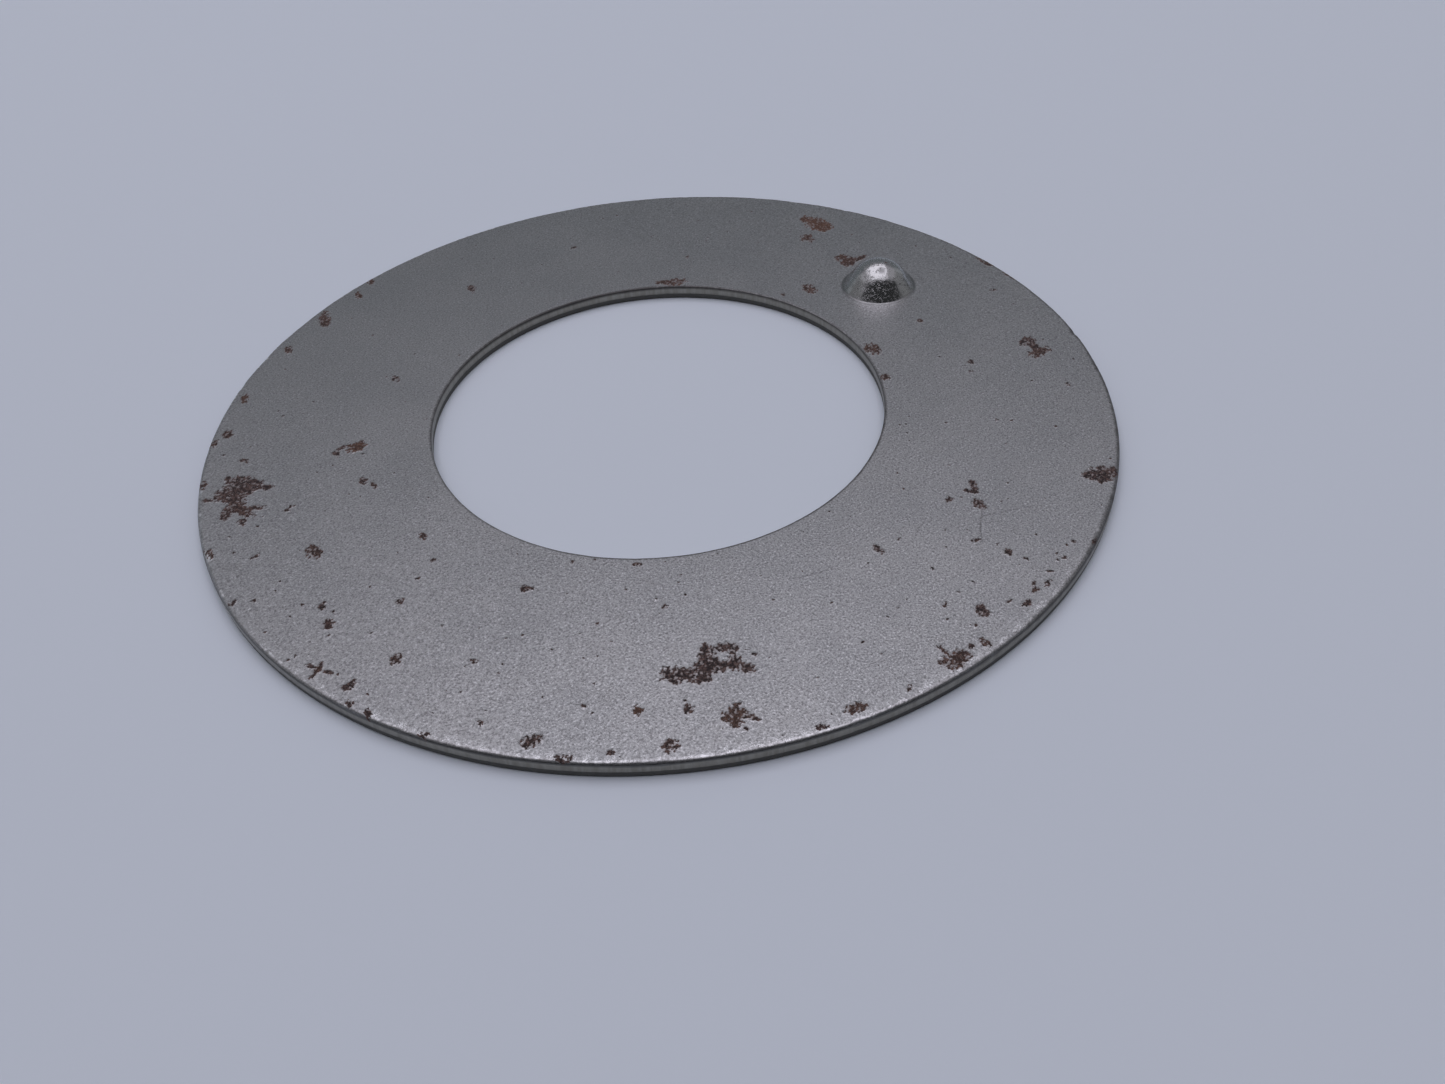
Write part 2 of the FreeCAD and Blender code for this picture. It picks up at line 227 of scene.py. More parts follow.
# ---- camera, in rim radii where it is a length ----
LENS_MM = 30.07
SENSOR_MM = 36.0
CAMERA_BEARING = 235.0
CAMERA_ELEVATION = 36.15
CAMERA_DISTANCE = 2.7515
AIM_RIGHT = 0.0993
AIM_TOWARDS_CAMERA = 0.4445
CAMERA_ROLL = -3.94

# ---- floor, lamps and room, in metres ----
FLOOR_HALF = 6.0
FLOOR_DROP = 0.00002  # how far the floor lies under the washer
# Softboxes: (name, place, aim, size, radiance, colour), in the view's axes.
OVERHEAD_WHITE = (0.98, 0.955, 1.05)
FAR_WHITE = (0.84, 0.95, 1.04)
SIDE_WHITE = (0.95, 0.96, 1.0)
SOFTBOXES = [
    ("overhead", (-0.04, 0.22, 1.0), (-0.04, 0.22, 0), (1.0, 1.24), 0.92, OVERHEAD_WHITE),
    ("ceiling", (-0.1, 0.22, 1.05), (-0.1, 0.22, 0), (3.0, 1.44), 0.37, OVERHEAD_WHITE),
    ("far_wall", (0, 1.1, 0.5), (0, 0, 0.5), (4.0, 1.0), 0.155, FAR_WHITE),
    ("left_wall", (-1.2, 0.35, 0.55), (0, 0.35, 0.4), (1.3, 0.8), 0.17, SIDE_WHITE),
    ("right_wall", (1.2, 0.3, 0.55), (0, 0.3, 0.4), (1.3, 0.8), 0.22, SIDE_WHITE),
]
ROOM_COLOUR = (0.9, 0.95, 0.98, 1)
ROOM_STRENGTH = 0.035


# ======================================================================== sizes from the frame

def read_sizes(frame):
    """The driving sizes in millimetres, from the frame's box and the record's mounts."""
    low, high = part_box("flat_washer")
    mounts = {mount["name"]: mount for mount in frame["record"]["mounts"]}
    bore = mounts["bore"]["dims"]
    crown = mounts["locating_dimple"]["pos_m"]
    return {
        "rim": (high.x - low.x) / 2 / MM,
        "hole": bore["r_mm"],
        "sheet": bore["length_mm"],
        "dimple_x": crown[0] / MM,
        "dimple_rise": crown[2] / MM - bore["length_mm"],
    }


# ======================================================================== shapes as formulas

def wobble(bearings, rng, waves, falloff):
    """A random curve round the washer from about -1 to 1: whole waves, each weaker than the last."""
    total = np.zeros_like(bearings)
    weight = 0.0
    for wave in waves:
        share = wave ** -falloff
        total += share * np.cos(wave * bearings + rng.uniform(0, math.tau))
        weight += share * share
    return total / math.sqrt(2 * weight)


def bow_height(x, y, rim):
    """How far the bowed ring stands off the floor: two opposite sides are high."""
    share = math.hypot(x, y) / rim
    turn = 2 * (math.atan2(y, x) - math.radians(BOW_BEARING))
    return BOW * share**2 * (1 + math.cos(turn)) / 2


class Bell:
    """A bell-shaped bump about its own axis: ball nose, straight flank and rounded foot."""

    def __init__(self, rise, mouth, nose, foot):
        self.rise, self.mouth, self.nose, self.foot = rise, mouth, nose, foot
        drop = foot - (rise - nose)
        turn = math.atan2(drop, mouth) + math.acos((nose + foot) / math.hypot(mouth, drop))
        self.tilt = math.pi / 2 - turn
        self.nose_end = nose * math.sin(self.tilt)
        self.foot_start = mouth - foot * math.sin(self.tilt)

    def height(self, distance):
        """Height at a distance from the axis; zero from the mouth outwards."""
        if distance < self.nose_end:
            return self.rise - self.nose + math.sqrt(self.nose**2 - distance**2)
        if distance < self.foot_start:
            top = self.rise - self.nose * (1 - math.cos(self.tilt))
            return top - (distance - self.nose_end) * math.tan(self.tilt)
        if distance < self.mouth:
            return self.foot - math.sqrt(self.foot**2 - (self.mouth - distance) ** 2)
        return 0.0

    def rings(self, step):
        """Distances from the axis that follow the bell's curve in even steps."""
        ball_count = max(3, round(self.nose * self.tilt / step))
        flank = self.foot_start - self.nose_end
        flank_count = max(3, round(flank / math.cos(self.tilt) / step))
        foot_count = max(4, round(self.foot * self.tilt / step))
        ball = [self.nose * math.sin(self.tilt * k / ball_count) for k in range(1, ball_count + 1)]
        straight = [self.nose_end + flank * k / flank_count for k in range(1, flank_count + 1)]
        turns = [self.tilt * (1 - k / foot_count) for k in range(1, foot_count + 1)]
        return ball + straight + [self.mouth - self.foot * math.sin(turn) for turn in turns]


# ======================================================================== rust

def cell_place(cell):
    """Centre of a cell of the hexagonal net of grains."""
    return GRAIN * (cell[0] + cell[1] / 2), GRAIN * cell[1] * math.sqrt(3) / 2


def cell_at(x, y):
    """The cell whose centre is nearest, to within a neighbour."""
    j = round(y / (GRAIN * math.sqrt(3) / 2))
    return round(x / GRAIN - j / 2), j


def polar(radius, bearing):
    """A point in the plan from its radius and bearing in degrees."""
    turn = math.radians(bearing)
    return radius * math.cos(turn), radius * math.sin(turn)


def creep(rng, centre, length, width, tilt, cover):
    """Rust that spreads from the centre to whichever grain resists least, and so branches and leaves gaps.

    Grains resist in clumps of four.  Returns {cell: strength}, from 1 where they gave way at once to 0.
    """
    clumps = {}
    grains = max(1, round(cover * math.pi / 4 * length * width / (GRAIN**2 * math.sqrt(3) / 2)))
    cos_tilt, sin_tilt = math.cos(math.radians(tilt)), math.sin(math.radians(tilt))
    start = cell_at(*centre)
    seen = {start}
    front = [(0.0, start)]
    grown = {}
    while front and len(grown) < grains:
        resistance, cell = heapq.heappop(front)
        grown[cell] = max(0.0, 1 - resistance)
        for step_i, step_j in NEIGHBOURS:
            beside = (cell[0] + step_i, cell[1] + step_j)
            if beside in seen:
                continue
            seen.add(beside)
            x, y = cell_place(beside)
            east, north = x - centre[0], y - centre[1]
            along = (east * cos_tilt + north * sin_tilt) / (length / 2)
            across = (north * cos_tilt - east * sin_tilt) / (width / 2)
            reach = math.hypot(along, across)
            clump = clumps.setdefault((beside[0] // 2, beside[1] // 2), rng.random())
            heapq.heappush(front, (0.65 * clump + 0.35 * rng.random() + 0.4 * reach**4, beside))
    return grown


def merge_rust(crust, grown, tone):
    """Adds one growth to the crust, {cell: (amount, tone)}; the stronger growth wins where two meet."""
    for cell, strength in grown.items():
        amount = 0.6 + 0.4 * strength
        if amount > crust.get(cell, (0, 0))[0]:
            crust[cell] = (amount, tone)


def upper_rust(sizes):
    """All the rust on the upper face and over its edges."""
    rng = random.Random(SEED)
    crust = {}
    for radius, bearing, lobes in BLOOMS:
        x, y = polar(radius, bearing)
        for east, north, length, width, tilt, tone in lobes:
            grown = creep(rng, (x + east, y + north), length, width, tilt, BLOOM_COVER)
            merge_rust(crust, grown, tone)
    for radius, bearing, length, width, tilt, tone in SPOTS:
        grown = creep(rng, polar(radius, bearing), length, width, tilt, SPOT_COVER)
        merge_rust(crust, grown, tone)
    scatter_specks(rng, crust, sizes, SPECKS)
    return crust


def lower_rust(sizes):
    """Rust on the underside, scattered at random, most of it near the rim."""
    rng = random.Random(SEED + 1)
    crust = {}
    for _ in range(UNDERSIDE_SPOTS):
        share = rng.random() ** 0.6
        radius = sizes["hole"] + share * (sizes["rim"] - sizes["hole"])
        length = rng.uniform(0.6, 2.4) * rng.uniform(0.6, 1.3)
        centre = polar(radius, rng.uniform(0, 360))
        width = length * rng.uniform(0.4, 0.9)
        grown = creep(rng, centre, length, width, rng.uniform(0, 180), UNDERSIDE_COVER)
        merge_rust(crust, grown, rng.uniform(0.2, 0.7))
    scatter_specks(rng, crust, sizes, UNDERSIDE_SPECKS)
    return crust


def scatter_specks(rng, crust, sizes, count):
    """Lone grains of rust and dirt over the whole face."""
    for _ in range(count):
        radius = math.sqrt(rng.uniform(sizes["hole"] ** 2, sizes["rim"] ** 2))
        centre = polar(radius, rng.uniform(0, 360))
        size = rng.uniform(0.1, 0.34)
        merge_rust(crust, creep(rng, centre, size, size, 0, SPECK_COVER), rng.uniform(0.0, 0.5))


def stained(crust):
    """{cell: share of the cells within two steps of it that are rusty}."""
    share = {}
    near = [(i, j) for i in range(-2, 3) for j in range(-2, 3) if abs(i + j) <= 2]
    for cell, (amount, _) in crust.items():
        for i, j in near:
            beside = (cell[0] + i, cell[1] + j)
            share[beside] = share.get(beside, 0.0) + amount / len(near)
    return share


def scratch_cells():
    """{cell: shade} along the hairline scratches of the upper face."""
    marks = {}
    for radius, bearing, heading, length, bend, shade in SCRATCHES:
        x, y = polar(radius, bearing)
        steps = round(length / (GRAIN / 2))
        for k in range(steps):
            turn = math.radians(heading + bend * k * GRAIN / 2)
            x += GRAIN / 2 * math.cos(turn)
            y += GRAIN / 2 * math.sin(turn)
            fade = math.sin(math.pi * (k + 0.5) / steps)
            marks[cell_at(x, y)] = shade * (0.4 + 0.6 * fade)
    return marks


# ======================================================================== the washer's mesh

class Sheet:
    """Collects the washer's points, with what the material has to know about each, and its faces."""

    FACTS = ("rust", "tone", "stain", "scratch", "polish", "grime", "soil", "wear", "wall", "depth")

    def __init__(self):
        self.points = []
        self.unrolled = []
        self.facts = {name: [] for name in self.FACTS}
        self.faces = []
        self.below = []

    def add(self, x, y, z, unrolled, **facts):
        """Adds a point and returns its number; unrolled is where it lies with the edges folded flat."""
        self.points.append((x, y, z))
        self.unrolled.append(unrolled)
        for name in self.FACTS:
            self.facts[name].append(facts.get(name, 0.0))
        return len(self.points) - 1

    def face(self, corners, below):
        """Adds a face; below says that it belongs to the underside."""
        self.faces.append(corners)
        self.below.append(below)


def spread(cells, rings):
    """The cells and those within so many steps of them."""
    grown = set(cells)
    edge = set(cells)
    for _ in range(rings):
        edge = {(i + a, j + b) for i, j in edge for a, b in NEIGHBOURS} - grown
        grown |= edge
    return grown


def at_bearing(loop, x, y):
    """Number in a loop, whose points are evenly spaced in bearing, of the one just before a place."""
    return math.floor((math.atan2(y, x) % math.tau) / math.tau * len(loop)) % len(loop)


def inside_loop(sheet, loop, point):
    """Whether a point in the plan lies inside a loop."""
    k = at_bearing(loop, point.x, point.y)
    start = Vector(sheet.points[loop[k]][:2])
    end = Vector(sheet.points[loop[(k + 1) % len(loop)]][:2])
    return (end - start).cross(point - start) > 0


def plan_points(sheet, sizes, loops, fine_cells, spacing, rings, ring_step):
    """Points inside one face: rings about the dimple, grains where the face is marked, and an even net."""
    outer, inner = ([math.hypot(*sheet.points[number][:2]) for number in loop] for loop in loops)
    centre = sizes["dimple_x"]
    rng = random.Random(SEED + 2)
    places = [(centre, 0.0)]
    for distance in rings + [rings[-1] + ring_step, rings[-1] + 2.5 * ring_step]:
        count = max(8, round(math.tau * distance / ring_step))
        start = rng.random()
        for k in range(count):
            turn = math.tau * (k + start) / count
            places.append((centre + distance * math.cos(turn), distance * math.sin(turn)))
    clear = rings[-1] + 3 * ring_step

    def usable(x, y, margin):
        radius = math.hypot(x, y)
        near, far = inner[at_bearing(inner, x, y)], outer[at_bearing(outer, x, y)]
        inside = near + margin < radius < far - margin
        return inside and math.hypot(x - centre, y) > clear

    for cell in sorted(fine_cells):
        x, y = cell_place(cell)
        x += GRAIN * rng.uniform(-GRAIN_JITTER, GRAIN_JITTER)
        y += GRAIN * rng.uniform(-GRAIN_JITTER, GRAIN_JITTER)
        if usable(x, y, 0.7 * GUARD):
            places.append((x, y))
    near_fine = spread(fine_cells, 2)
    rows = math.ceil(sizes["rim"] / (spacing * math.sqrt(3) / 2))
    for j in range(-rows, rows + 1):
        for i in range(-2 * rows, 2 * rows + 1):
            x = spacing * (i + j / 2 + rng.uniform(-NET_JITTER, NET_JITTER))
            y = spacing * (j * math.sqrt(3) / 2 + rng.uniform(-NET_JITTER, NET_JITTER))
            if usable(x, y, 2.5 * GUARD) and cell_at(x, y) not in near_fine:
                places.append((x, y))
    return places


def fill_face(sheet, ids, below):
    """Joins numbered points into triangles; the first two lists in ids are the rim's and hole's loops."""
    rim_loop, hole_loop, inside = ids
    numbers = rim_loop + hole_loop + inside
    plan = [Vector(sheet.points[n][:2]) for n in numbers]
    edges = []
    start = 0
    for loop in (rim_loop, hole_loop):
        count = len(loop)
        edges += [(start + k, start + (k + 1) % count) for k in range(count)]
        start += count
    found = delaunay_2d_cdt(plan, edges, [], 0, 1e-6)
    origins = [source[0] for source in found[3]]
    for corners in found[2]:
        middle = sum((found[0][c] for c in corners), Vector((0, 0))) / 3
        if inside_loop(sheet, rim_loop, middle) and not inside_loop(sheet, hole_loop, middle):
            triangle = [numbers[origins[c]] for c in corners]
            sheet.face(triangle[::-1] if below else triangle, below)


def edge_profile(width, depth, cut_end, sheet_thickness):
    """The edge's section from the upper face to the underside: (inset, height) for each point.

    The upper corner is drawn down in a quarter of an ellipse, the part down to cut_end is upright, the
    torn part leans in a little, and the lower corner is rounded.
    """
    section = []
    for k in range(6):
        turn = math.pi / 2 * k / 5
        section.append((width * (1 - math.sin(turn)), sheet_thickness - depth * (1 - math.cos(turn))))
    cut_top = sheet_thickness - depth
    section += [(0.0, cut_top + (cut_end - cut_top) * share) for share in (0.35, 0.7, 1.0)]
    torn_height = cut_end - LOWER_EDGE_RADIUS
    section += [(TORN_INSET, cut_end - torn_height * share) for share in (0.2, 0.6, 1.0)]
    for k in range(1, 4):
        turn = math.pi / 2 * k / 3
        inset = TORN_INSET + LOWER_EDGE_RADIUS * (1 - math.cos(turn))
        section.append((inset, LOWER_EDGE_RADIUS * (1 - math.sin(turn))))
    return section


def build_edge(sheet, sizes, edge, outward, steps, crust, rng):
    """One edge of the ring, with its chips and tears.  Returns its upper and lower loops of points.

    edge is the wall's radius, how wide and deep its upper corner is drawn down, and the painted shade on
    that.
    outward is 1 for the rim and -1 for the hole.  In each section, points 0 to 5 are the drawn corner,
    6 to 8 the cut part, 9 to 11 the torn part and 12 to 14 the lower corner.
    """
    radius, drawn_width, drawn_depth, shade_all, shade_more, shade_places, shade_bearing = edge
    thickness = sizes["sheet"]
    cut_end = LOWER_EDGE_RADIUS + TORN_SHARE * (thickness - drawn_depth - LOWER_EDGE_RADIUS)
    bearings = np.arange(steps) * math.tau / steps
    wide = 1 + 0.22 * wobble(bearings, rng, range(3, 60), 0.4)
    wide += 0.12 * wobble(bearings, rng, range(60, 400, 3), 0.2)
    deep = 1 + 0.15 * wobble(bearings, rng, range(2, 50), 0.4)
    torn = 0.5 + 0.5 * wobble(bearings, rng, range(40, 300, 3), 0.1)
    # Painted highlight along the drawn corner, on top of its wear.
    worn_glint = 0.2 + 0.5 * wobble(bearings, rng, range(5, 60), 0.1)
    worn_glint += 0.4 * wobble(bearings, rng, range(90, 560, 5), 0.0)
    lip_shade = RIM_LIP_SHADE if outward > 0 else HOLE_LIP_SHADE
    # Painted shade: a dark line along the drawn corner, all round and stronger at some bearings.
    edge_shaded = shade_all + shade_more * np.cos(shade_places * (bearings - math.radians(shade_bearing)))
    edge_shaded = np.clip(edge_shaded + 0.15 * wobble(bearings, rng, range(20, 300, 3), 0.0), 0, 1)
    nick = np.zeros(steps)
    if outward > 0:
        for bearing, half_width, cut in NICKS:
            away = (np.degrees(bearings) - bearing + 180) % 360 - 180
            nick += cut * np.exp(-((away / half_width) ** 2))
    rows = []
    for k, turn in enumerate(bearings):
        width, depth = drawn_width * wide[k] + nick[k], drawn_depth * deep[k] + nick[k]
        section = edge_profile(width, depth, cut_end, thickness)
        row = []
        run = 0.0
        before = section[0]
        flat_radius = radius - outward * section[0][0]
        for m, (inset, height) in enumerate(section):
            run += math.dist(before, (inset, height))
            before = (inset, height)
            rough = 0.03 * torn[k] * (m in (9, 10, 11)) + 0.3 * nick[k] * (4 <= m < 9)
            reach = radius - outward * (inset + rough)
            x, y = reach * math.cos(turn), reach * math.sin(turn)
            fold = flat_radius + outward * run
            unrolled = (fold * math.cos(turn), fold * math.sin(turn))
            amount, tone = crust.get(cell_at(*unrolled), (0.0, 0.0))
            z = height + bow_height(x, y, sizes["rim"])
            # Painted highlight on the worn corner, weaker where the painted shade lies.
            wear = worn_glint[k] - 0.4 * edge_shaded[k] if m < 3 else 0.0
            # Painted shade on the drawn corner, and a share of it on the flat lip beside it.
            soil = edge_shaded[k] if 1 <= m < 6 else lip_shade * edge_shaded[k] * (m == 0)
            row.append(sheet.add(x, y, z, unrolled, rust=amount, tone=tone, wear=wear, soil=soil,
                                 wall=min(1.0, m / 5), depth=1 - height / thickness))
        rows.append(row)
    for k in range(steps):
        here, following = rows[k], rows[(k + 1) % steps]
        for m in range(len(here) - 1):
            quad = [here[m], here[m + 1], following[m + 1], following[m]]
            sheet.face(quad if outward > 0 else quad[::-1], False)
    return [row[0] for row in rows], [row[-1] for row in rows]


def guard_ring(sheet, loop, inset, shape):
    """Points a short way inside a rounded edge, which keep its shading off the flat face."""
    ring = []
    for number in loop[::2]:
        x, y, _ = sheet.points[number]
        radius = math.hypot(x, y)
        scale = (radius + inset) / radius
        ring.append(shape(x * scale, y * scale))
    return ring


def dent_depth(x, y, sizes):
    """Depth of the dent worn into the crown of the dimple."""
    reach = CROWN_RADIUS * math.sin(math.radians(DENT_TILT))
    east, north = polar(reach, DENT_BEARING)
    away = math.hypot(x - sizes["dimple_x"] - east, y - north)
    return DENT_DEPTH * math.exp(-((away / DENT_RADIUS) ** 4))


def build_upper_face(sheet, sizes, loops, crust):
    """The upper face with its dimple, scratches and crusts of rust."""
    rng = random.Random(SEED + 3)
    marks = scratch_cells()
    stain = stained(crust)
    rise = sizes["dimple_rise"] - bow_height(sizes["dimple_x"], 0, sizes["rim"])
    bell = Bell(rise, DIMPLE_BASE_RADIUS, CROWN_RADIUS, DIMPLE_FOOT_RADIUS)
    strongest, up_from_foot, half_width = FOOT_SHADE

    def add_point(x, y):
        away = math.hypot(x - sizes["dimple_x"], y)
        cell = cell_at(x, y)
        amount, tone = crust.get(cell, (0.0, 0.0))
        z = sizes["sheet"] + bow_height(x, y, sizes["rim"]) + bell.height(away)
        polish = 0.0
        if away < bell.mouth:
            z -= dent_depth(x, y, sizes)
            polish = min(1.0, POLISH_RISE * (1 - away / bell.mouth))
        elif amount:
            z += CRUST_HEIGHT * amount * rng.uniform(0.3, 1.0)
        # Painted shade in the crease round the dimple's foot and in the dent.
        grime = strongest * math.exp(-(((away - bell.mouth + up_from_foot) / half_width) ** 4))
        grime = max(grime, DENT_SHADE * dent_depth(x, y, sizes) / DENT_DEPTH)
        return sheet.add(x, y, z, (x, y), rust=amount, tone=tone, stain=stain.get(cell, 0.0),
                         scratch=marks.get(cell, 0.0), polish=polish, grime=grime)

    rim_loop, hole_loop = loops
    fine = spread(crust, 2) | spread(marks, 1)
    rings = bell.rings(DIMPLE_SPACING)
    places = plan_points(sheet, sizes, loops, fine, UPPER_SPACING, rings, DIMPLE_SPACING)
    inside = guard_ring(sheet, rim_loop, -GUARD, add_point)
    inside += guard_ring(sheet, hole_loop, GUARD, add_point)
    inside += [add_point(x, y) for x, y in places]
    fill_face(sheet, (rim_loop, hole_loop, inside), False)


def build_lower_face(sheet, sizes, loops, crust):
    """The underside, with the hollow that the punch left under the dimple."""
    rng = random.Random(SEED + 4)
    stain = stained(crust)
    rise = sizes["sheet"] + sizes["dimple_rise"] - CROWN_WALL
    bell = Bell(rise, RECESS_MOUTH_RADIUS, PUNCH_NOSE_RADIUS, RECESS_LIP_RADIUS)

    def add_point(x, y):
        away = math.hypot(x - sizes["dimple_x"], y)
        cell = cell_at(x, y)
        amount, tone = crust.get(cell, (0.0, 0.0))
        z = bow_height(x, y, sizes["rim"]) + bell.height(away)
        if amount:
            z = max(0.0, z - UNDERSIDE_CRUST_HEIGHT * amount * rng.uniform(0.3, 1.0))
        polish = RECESS_POLISH * max(0.0, 1 - away / bell.mouth)
        return sheet.add(x, y, z, (x, y), rust=amount, tone=tone, stain=stain.get(cell, 0.0), polish=polish)

    rim_loop, hole_loop = loops
    fine = spread(crust, 1)
    rings = bell.rings(RECESS_SPACING)
    places = plan_points(sheet, sizes, loops, fine, LOWER_SPACING, rings, RECESS_SPACING)
    inside = guard_ring(sheet, rim_loop, -GUARD, add_point)
    inside += guard_ring(sheet, hole_loop, GUARD, add_point)
    inside += [add_point(x, y) for x, y in places]
    fill_face(sheet, (rim_loop, hole_loop, inside), True)


def bake_layout(sheet, sizes, mesh):
    """A texture layout named OFBake: the upper face and its folded-out edges, with the underside, shrunk,
    inside the hole."""
    edge_run = sizes["sheet"] + FOLD_ROOM
    half = sizes["rim"] + edge_run
    shrink = (sizes["hole"] - edge_run) / (sizes["rim"] + LAYOUT_GAP)
    layer = mesh.uv_layers.new(name="OFBake")
    flat = []
    for corners, below in zip(sheet.faces, sheet.below):
        scale = shrink if below else 1.0
        for number in corners:
            x, y = sheet.points[number][:2] if below else sheet.unrolled[number]
            flat += [0.5 + LAYOUT_HALF * scale * x / half, 0.5 + LAYOUT_HALF * scale * y / half]
    layer.data.foreach_set("uv", flat)


def build_washer(sizes):
    """The whole washer as one closed mesh, in metres."""
    rng = random.Random(SEED + 5)
    sheet = Sheet()
    above, under = upper_rust(sizes), lower_rust(sizes)
    rim = (sizes["rim"], *RIM_DRAWN, *RIM_EDGE_SHADE)
    hole = (sizes["hole"], *HOLE_DRAWN, *HOLE_EDGE_SHADE)
    rim_upper, rim_lower = build_edge(sheet, sizes, rim, 1, RIM_STEPS, above, rng)
    hole_upper, hole_lower = build_edge(sheet, sizes, hole, -1, HOLE_STEPS, above, rng)
    build_upper_face(sheet, sizes, (rim_upper, hole_upper), above)
    build_lower_face(sheet, sizes, (rim_lower, hole_lower), under)

    mesh = bpy.data.meshes.new("washer_sheet")
    mesh.from_pydata([(x * MM, y * MM, z * MM) for x, y, z in sheet.points], [], sheet.faces)
    for name, values in sheet.facts.items():
        attribute = mesh.attributes.new(name, "FLOAT", "POINT")
        attribute.data.foreach_set("value", values)
    mesh.polygons.foreach_set("use_smooth", [True] * len(mesh.polygons))
    bake_layout(sheet, sizes, mesh)
    mesh.validate(verbose=False)
    mesh.update()
    washer = bpy.data.objects.new("washer_sheet", mesh)
    bpy.context.scene.collection.objects.link(washer)
    return washer


# ======================================================================== materials

class Graph:
    """Adds and joins the nodes of one material."""

    def __init__(self, name):
        self.material = bpy.data.materials.new(name)
        self.material.use_nodes = True
        self.tree = self.material.node_tree
        self.tree.nodes.clear()
        self.shader = self.node("ShaderNodeBsdfPrincipled")
        output = self.node("ShaderNodeOutputMaterial")
        self.tree.links.new(self.shader.outputs["BSDF"], output.inputs["Surface"])

    def node(self, kind, **settings):
        made = self.tree.nodes.new(kind)
        for name, value in settings.items():
            setattr(made, name, value)
        return made

    def feed(self, socket, value):
        """Links an output to an input, or sets the input to a plain value."""
        if isinstance(value, bpy.types.NodeSocket):
            self.tree.links.new(value, socket)
        else:
            socket.default_value = value

    def place(self, stretch=(1.0, 1.0, 1.0)):
        """The object's own coordinates in millimetres, stretched if asked."""
        scale = self.node("ShaderNodeMapping")
        scale.inputs["Scale"].default_value = [1 / MM / s for s in stretch]
        self.feed(scale.inputs["Vector"], self.node("ShaderNodeTexCoord").outputs["Object"])
        return scale.outputs["Vector"]

    def fact(self, name):
        return self.node("ShaderNodeAttribute", attribute_name=name).outputs["Fac"]

    def noise(self, place, per_mm, detail=3.0, roughness=0.55, distortion=0.0):
        made = self.node("ShaderNodeTexNoise")
        self.feed(made.inputs["Vector"], place)
        for name, value in (("Scale", per_mm), ("Detail", detail), ("Roughness", roughness),
                            ("Distortion", distortion)):
            made.inputs[name].default_value = value
        return made.outputs["Fac"]

    def maths(self, operation, first, second=0.0, clamp=False):
        made = self.node("ShaderNodeMath", operation=operation, use_clamp=clamp)
        self.feed(made.inputs[0], first)
        self.feed(made.inputs[1], second)
        return made.outputs["Value"]

    def ramp(self, value, low, high, low_out=0.0, high_out=1.0):
        """Turns low..high of a value smoothly into low_out..high_out."""
        made = self.node("ShaderNodeMapRange", interpolation_type="SMOOTHSTEP")
        self.feed(made.inputs["Value"], value)
        ends = {"From Min": low, "From Max": high, "To Min": low_out, "To Max": high_out}
        for name, number in ends.items():
            self.feed(made.inputs[name], number)
        return made.outputs["Result"]

    def blend(self, factor, first, second):
        """Between two numbers."""
        made = self.node("ShaderNodeMix", data_type="FLOAT")
        for socket, value in zip((made.inputs[0], made.inputs[2], made.inputs[3]), (factor, first, second)):
            self.feed(socket, value)
        return made.outputs[0]

    def tint(self, factor, first, second):
        """Between two colours."""
        made = self.node("ShaderNodeMix", data_type="RGBA", blend_type="MIX")
        for socket, value in zip((made.inputs[0], made.inputs[6], made.inputs[7]), (factor, first, second)):
            self.feed(socket, value)
        return made.outputs[2]

    def glints_and_wear(self, place, fine):
        """Painted highlights: along the worn edge, and glints in a ragged belt inside one stretch of the
        rim.
        """
        edge = self.ramp(self.fact("wear"), 0.3, 0.9)
        length = self.node("ShaderNodeVectorMath", operation="LENGTH")
        flat = self.node("ShaderNodeMapping")
        flat.inputs["Scale"].default_value = (1.0, 1.0, 0.0)
        self.feed(flat.inputs["Vector"], place)
        self.feed(length.inputs[0], flat.outputs["Vector"])
        belt = self.ramp(length.outputs["Value"], *GLINT_RADII)
        ragged = self.ramp(self.noise(place, 1.3, 4.0, 0.65), 0.46, 0.6)
        flecks = self.ramp(fine, 0.46, 0.58)
        belt = self.maths("MULTIPLY", self.maths("MULTIPLY", belt, ragged), flecks)
        toward = self.node("ShaderNodeVectorMath", operation="DOT_PRODUCT")
        toward.inputs[1].default_value = (*polar(1.0, GLINT_BEARING), 0.0)
        self.feed(toward.inputs[0], place)
        belt = self.maths("MULTIPLY", belt, self.ramp(toward.outputs["Value"], *GLINT_REACH))
        top = self.maths("SUBTRACT", 1.0, self.ramp(self.fact("wall"), 0.1, 0.6))
        return self.maths("MULTIPLY", self.maths("MAXIMUM", edge, belt), top, clamp=True)

    def bump(self, height, millimetres, below=None):
        """Relief of so many millimetres, on top of the relief below."""
        made = self.node("ShaderNodeBump")
        made.inputs["Strength"].default_value = 1.0
        made.inputs["Distance"].default_value = millimetres * MM
        self.feed(made.inputs["Height"], height)
        if below is not None:
            self.feed(made.inputs["Normal"], below)
        return made.outputs["Normal"]


